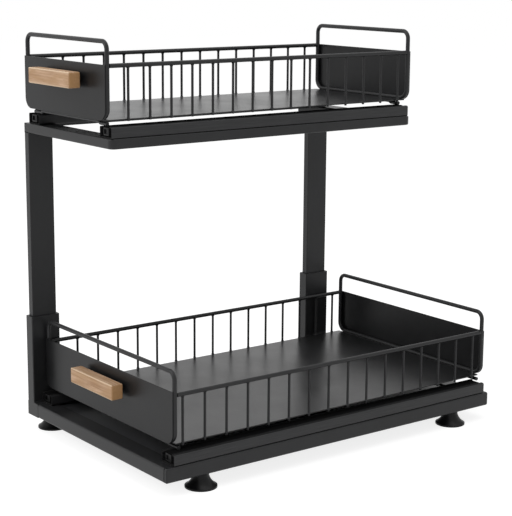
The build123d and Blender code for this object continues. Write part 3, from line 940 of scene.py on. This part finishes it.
class ORGANIZER_OT_base_tubes(bpy.types.Operator):
    """Base tubes with rounded edges and a seam beside each right corner"""

    bl_idname = "organizer.base_tubes"
    bl_label = "Base Tubes"

    def execute(self, context):
        form = context.scene.organizer_form
        coat = bpy.data.materials["black_coat_tube"]
        front_low, front_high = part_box("base_front_rail")
        right_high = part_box("base_right_rail")[1]
        high = Vector((right_high.x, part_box("base_rear_rail")[1].y, front_high.z))
        ring = tube_ring(
            front_low.x, front_low, high, front_high.y - front_low.y, form.base_corner,
            form.tube_rounding, form.seam_width,
        )
        seam_x = high.x - form.base_corner - form.seam_place
        self.corner_seam(ring, seam_x, front_low.y, 1, 2 * form.seam_width)
        self.corner_seam(ring, seam_x, high.y, -1, 2 * form.seam_width)
        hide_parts("base_front_rail", "base_right_rail", "base_rear_rail")
        finish_piece(ring, "base_tube_ring", "base", coat)
        left_low, left_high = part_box("base_left_rail")
        tube = straight_tube(left_low, left_high, form.tube_rounding, form.seam_width / 2)
        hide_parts("base_left_rail")
        finish_piece(tube, "base_left_tube", "base", coat)
        return {"FINISHED"}

    def corner_seam(self, ring, x, face_y, inward, width):
        """Sinks a thin upright strip of the front or rear face beside the corner."""
        for place in (x, x + width):
            pick_all()
            bpy.ops.mesh.bisect(plane_co=(place, 0, 0), plane_no=(1, 0, 0))
        pick_faces(
            ring,
            lambda c, n: x < c.x < x + width and n.y * inward < -0.3 and abs(c.y - face_y) < SEAM_REACH,
        )
        extrude((0, SEAM_DEPTH_IN_WIDTHS * inward * width, 0))
        bpy.ops.object.mode_set(mode="OBJECT")


class ORGANIZER_OT_upper_tubes(bpy.types.Operator):
    """Upper frame's tubes with rounded edges and rounded right corners"""

    bl_idname = "organizer.upper_tubes"
    bl_label = "Upper Tubes"

    def execute(self, context):
        form = context.scene.organizer_form
        coat = bpy.data.materials["black_coat_tube"]
        front_low, front_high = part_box("upper_front_rail")
        high = Vector((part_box("upper_right_rail")[1].x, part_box("upper_rear_rail")[1].y, front_high.z))
        ring = tube_ring(
            front_low.x, front_low, high, front_high.y - front_low.y, form.upper_corner,
            form.upper_rounding, form.seam_width / 2,
        )
        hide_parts("upper_front_rail", "upper_right_rail", "upper_rear_rail")
        finish_piece(ring, "upper_tube_ring", "upper_frame", coat)
        return {"FINISHED"}


class ORGANIZER_OT_end_plates(bpy.types.Operator):
    """Sheet plates in the baskets' loops, with softened edges and rounded lower corners"""

    bl_idname = "organizer.end_plates"
    bl_label = "Basket End Plates"

    def execute(self, context):
        form = context.scene.organizer_form
        coat = bpy.data.materials["black_coat_plate"]
        for tier in TIERS:
            for end in ENDS:
                low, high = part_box(f"{tier}_{end}_plate")
                if (tier, end) == ("lower", "front"):
                    high.z += form.plate_rise
                plate = solid_box(low, high)
                pick_edges(plate, lambda a, b: near(a.x, b.x) and near(a.z, low.z) and near(b.z, low.z))
                bevel(form.plate_corner, 10)
                pick_edges(plate, lambda a, b: near(a.y, b.y))
                bevel(form.sheet_edge, 2)
                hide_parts(f"{tier}_{end}_plate")
                finish_piece(
                    plate, f"{tier}_{end}_sheet", f"{tier}_basket", coat,
                    SHEET_SMOOTH_ANGLE,
                )
        return {"FINISHED"}


class ORGANIZER_OT_post_welds(bpy.types.Operator):
    """Weld beads at the foot of each sleeve and the head of each post"""

    bl_idname = "organizer.post_welds"
    bl_label = "Post Welds"

    def execute(self, context):
        bead = context.scene.organizer_form.tube_bead
        coat = bpy.data.materials["black_coat_tube"]
        for end in ENDS:
            foot = join_pieces([weld_bead(a, b, bead) for a, b in self.foot_runs(end)])
            finish_piece(foot, f"{end}_sleeve_weld", "base", coat)
            head = join_pieces([weld_bead(a, b, bead * POST_BEAD_SHARE) for a, b in self.head_runs(end)])
            finish_piece(head, f"{end}_post_weld", "upper_frame", coat)
        return {"FINISHED"}

    def foot_runs(self, end):
        """The right and rear sides of a sleeve's foot, and the front side of the rear sleeve's."""
        low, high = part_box(f"{end}_post_sleeve")
        z = low.z
        corners = [Vector((high.x, low.y, z)), Vector((high.x, high.y, z)), Vector((low.x, high.y, z))]
        if end == "rear":
            corners.insert(0, Vector((low.x, low.y, z)))
        return zip(corners, corners[1:])

    def head_runs(self, end):
        """Along the post's right side under the rail, and across its inner side."""
        low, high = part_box(f"{end}_post_tube")
        rail_low, rail_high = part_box(f"upper_{end}_rail")
        z = high.z
        first_y, last_y = max(low.y, rail_low.y), min(high.y, rail_high.y)
        inner_y = last_y if end == "front" else first_y
        return (
            (Vector((high.x, first_y, z)), Vector((high.x, last_y, z))),
            (Vector((low.x, inner_y, z)), Vector((high.x, inner_y, z))),
        )


class ORGANIZER_OT_wire_welds(bpy.types.Operator):
    """Small collars of weld where the upright wires meet their rail and the floor"""

    bl_idname = "organizer.wire_welds"
    bl_label = "Wire Welds"

    def execute(self, context):
        bead = context.scene.organizer_form.wire_bead
        coat = bpy.data.materials["black_coat_tube"]
        for tier in TIERS:
            floor_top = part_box(f"{tier}_basket_floor")[1].z
            collars = []
            for side in SIDES:
                low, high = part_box(f"{tier}_{side}_grille")
                rail_radius = (high.x - low.x) / 2
                x = (low.x + high.x) / 2
                rail_z = high.z - rail_radius
                places = upright_places(f"{tier}_{side}_grille")
                first = [
                    bead_round_wire(x, places[0], rail_z - COLLAR_DEPTH_ON_RAIL * rail_radius, bead, -1),
                    bead_round_wire(x, places[0], floor_top, bead, 1),
                ]
                collars += first
                for place in places[1:]:
                    collars += [copy_by(collar, (0.0, place - places[0], 0.0)) for collar in first]
            finish_piece(
                join_pieces(collars), f"{tier}_wire_welds", f"{tier}_basket", coat
            )
        return {"FINISHED"}


class ORGANIZER_OT_handle_screws(bpy.types.Operator):
    """Pan-head screws that hold the handles from inside the baskets"""

    bl_idname = "organizer.handle_screws"
    bl_label = "Handle Screws"

    def execute(self, context):
        steel = bpy.data.materials["bright_steel"]
        for tier in TIERS:
            low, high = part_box(f"{tier}_handle_screws")
            plate_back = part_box(f"{tier}_front_plate")[1].y
            head_radius = (high.z - low.z) / 2
            centre = Vector((low.x + head_radius, plate_back, (low.z + high.z) / 2))
            first = pan_head_screw(centre, head_radius, high.y - plate_back, plate_back - low.y)
            second = copy_by(first, (high.x - low.x - 2 * head_radius, 0.0, 0.0))
            pair = join_pieces([first, second])
            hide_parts(f"{tier}_handle_screws")
            finish_piece(pair, f"{tier}_pan_head_screws", f"{tier}_basket", steel)
        return {"FINISHED"}


class ORGANIZER_OT_bumpers(bpy.types.Operator):
    """Rubber bumpers in the front ends of the slides' inner members"""

    bl_idname = "organizer.bumpers"
    bl_label = "Slide Bumpers"

    def execute(self, context):
        depth = context.scene.organizer_form.bumper_depth
        rubber = bpy.data.materials["black_rubber"]
        for tier in TIERS:
            for side in SIDES:
                bumper = slide_bumper(f"{tier}_{side}_slide_member", depth)
                finish_piece(bumper, f"{tier}_{side}_slide_bumper", f"{tier}_basket", rubber)
        return {"FINISHED"}


class ORGANIZER_OT_stage(bpy.types.Operator):
    """Camera, pale floor, white surroundings and soft lamps"""

    bl_idname = "organizer.stage"
    bl_label = "Stage"

    def execute(self, context):
        studio = context.scene.organizer_studio
        self.camera(context, studio)
        self.floor(studio)
        self.world(context, studio)
        self.lamp(context, "key_lamp", KEY_PLACE, KEY_SIZE, studio.key_power)
        self.lamp(context, "top_lamp", TOP_PLACE, TOP_SIZE, studio.top_power)
        context.scene.view_settings.view_transform = "Standard"
        return {"FINISHED"}

    def camera(self, context, studio):
        """The photograph's view, from a place, a turn, a pitch and a roll."""
        data = bpy.data.cameras.new("photo_camera")
        data.sensor_fit = "HORIZONTAL"
        data.sensor_width = SENSOR_WIDTH
        data.lens = studio.lens
        camera = bpy.data.objects.new("photo_camera", data)
        context.scene.collection.objects.link(camera)
        turn, pitch, roll = studio.camera_azimuth, studio.camera_pitch, studio.camera_roll
        forward = Vector((
            -math.sin(turn) * math.cos(pitch), math.cos(turn) * math.cos(pitch), -math.sin(pitch),
        ))
        level_right = Vector((math.cos(turn), math.sin(turn), 0.0))
        level_up = level_right.cross(forward)
        right = level_right * math.cos(roll) + level_up * math.sin(roll)
        up = level_up * math.cos(roll) - level_right * math.sin(roll)
        turned = Matrix((right, up, -forward)).transposed().to_4x4()
        camera.matrix_world = Matrix.Translation(Vector(studio.camera_place)) @ turned
        context.scene.camera = camera

    def floor(self, studio):
        """A pale floor that keeps the object's shadow and looks white."""
        start_piece()
        bpy.ops.mesh.primitive_plane_add(size=2 * studio.floor_half, location=(0.0, 0.0, 0.0))
        floor = bpy.context.object
        floor.name = "studio_floor"
        material = bpy.data.materials.new("pale_floor")
        nodes = NodeTree(material)
        lit = nodes.add("ShaderNodeBsdfDiffuse")
        lit.inputs["Color"].default_value = FLOOR_COLOR
        glow = nodes.add("ShaderNodeEmission")
        glow.inputs["Color"].default_value = WHITE
        glow.inputs["Strength"].default_value = studio.floor_glow
        share = nodes.calculate("MULTIPLY", self.seen_directly(nodes), studio.floor_share)
        output = nodes.add("ShaderNodeOutputMaterial")
        self.mix(nodes, share, lit.outputs["BSDF"], glow.outputs["Emission"], output)
        floor.data.materials.append(material)

    def world(self, context, studio):
        """A white room that lights the object at the fill level."""
        world = bpy.data.worlds.new("white_room")
        context.scene.world = world
        nodes = NodeTree(world)
        room = nodes.add("ShaderNodeBackground")
        room.inputs["Color"].default_value = WHITE
        room.inputs["Strength"].default_value = studio.fill_level
        backdrop = nodes.add("ShaderNodeBackground")
        backdrop.inputs["Color"].default_value = WHITE
        backdrop.inputs["Strength"].default_value = 1.0
        seen = self.seen_directly(nodes)
        output = nodes.add("ShaderNodeOutputWorld")
        self.mix(nodes, seen, room.outputs["Background"], backdrop.outputs["Background"], output)

    def seen_directly(self, nodes):
        """1 for camera, glossy and transmission rays, and 0 for the light that falls on things."""
        path = nodes.add("ShaderNodeLightPath")
        seen = nodes.calculate("MAXIMUM", path.outputs["Is Camera Ray"], path.outputs["Is Glossy Ray"])
        return nodes.calculate("MAXIMUM", seen, path.outputs["Is Transmission Ray"])

    def mix(self, nodes, share, first, second, output):
        """Two shaders mixed by a share, joined to the output."""
        mix = nodes.add("ShaderNodeMixShader")
        nodes.link(share, mix.inputs["Fac"])
        nodes.link(first, mix.inputs[1])
        nodes.link(second, mix.inputs[2])
        nodes.link(mix.outputs["Shader"], output.inputs["Surface"])

    def lamp(self, context, name, place, size, power):
        """A square soft lamp that faces the object's middle."""
        data = bpy.data.lights.new(name, "AREA")
        data.shape = "SQUARE"
        data.size = size
        data.energy = power
        lamp = bpy.data.objects.new(name, data)
        context.scene.collection.objects.link(lamp)
        lamp.location = place
        lamp.rotation_euler = (LAMP_TARGET - place).to_track_quat("-Z", "Y").to_euler()


class ORGANIZER_PT_panel(bpy.types.Panel):
    """Lists the organizer's finishes, pieces and studio"""

    bl_idname = "ORGANIZER_PT_panel"
    bl_label = "Organizer"
    bl_space_type = "VIEW_3D"
    bl_region_type = "UI"
    bl_category = "Organizer"

    def draw(self, context):
        layout = self.layout
        for group_name, _ in GROUPS:
            group = getattr(context.scene, group_name)
            column = layout.column(align=True)
            for key in group.bl_rna.properties.keys():
                if key not in {"rna_type", "name"}:
                    column.prop(group, key)
        for operator in OPERATORS:
            layout.operator(operator.bl_idname)


GROUPS = (
    ("organizer_coat", CoatSettings),
    ("organizer_steel", SteelSettings),
    ("organizer_wood", WoodSettings),
    ("organizer_form", FormSettings),
    ("organizer_studio", StudioSettings),
)
OPERATORS = (
    ORGANIZER_OT_coat,
    ORGANIZER_OT_slides,
    ORGANIZER_OT_handles,
    ORGANIZER_OT_feet,
    ORGANIZER_OT_base_tubes,
    ORGANIZER_OT_upper_tubes,
    ORGANIZER_OT_end_plates,
    ORGANIZER_OT_post_welds,
    ORGANIZER_OT_wire_welds,
    ORGANIZER_OT_handle_screws,
    ORGANIZER_OT_bumpers,
    ORGANIZER_OT_stage,
)


def register():
    for name, group in GROUPS:
        bpy.utils.register_class(group)
        setattr(bpy.types.Scene, name, PointerProperty(type=group))
    for operator in OPERATORS:
        bpy.utils.register_class(operator)
    bpy.utils.register_class(ORGANIZER_PT_panel)


def unregister():
    bpy.utils.unregister_class(ORGANIZER_PT_panel)
    for operator in reversed(OPERATORS):
        bpy.utils.unregister_class(operator)
    for name, group in reversed(GROUPS):
        delattr(bpy.types.Scene, name)
        bpy.utils.unregister_class(group)


def main():
    register()
    bpy.ops.organizer.coat()
    bpy.ops.organizer.slides()
    bpy.ops.organizer.handles()
    bpy.ops.organizer.feet()
    bpy.ops.organizer.base_tubes()
    bpy.ops.organizer.upper_tubes()
    bpy.ops.organizer.end_plates()
    bpy.ops.organizer.post_welds()
    bpy.ops.organizer.wire_welds()
    bpy.ops.organizer.handle_screws()
    bpy.ops.organizer.bumpers()
    bpy.ops.organizer.stage()


if __name__ == "__main__":
    main()
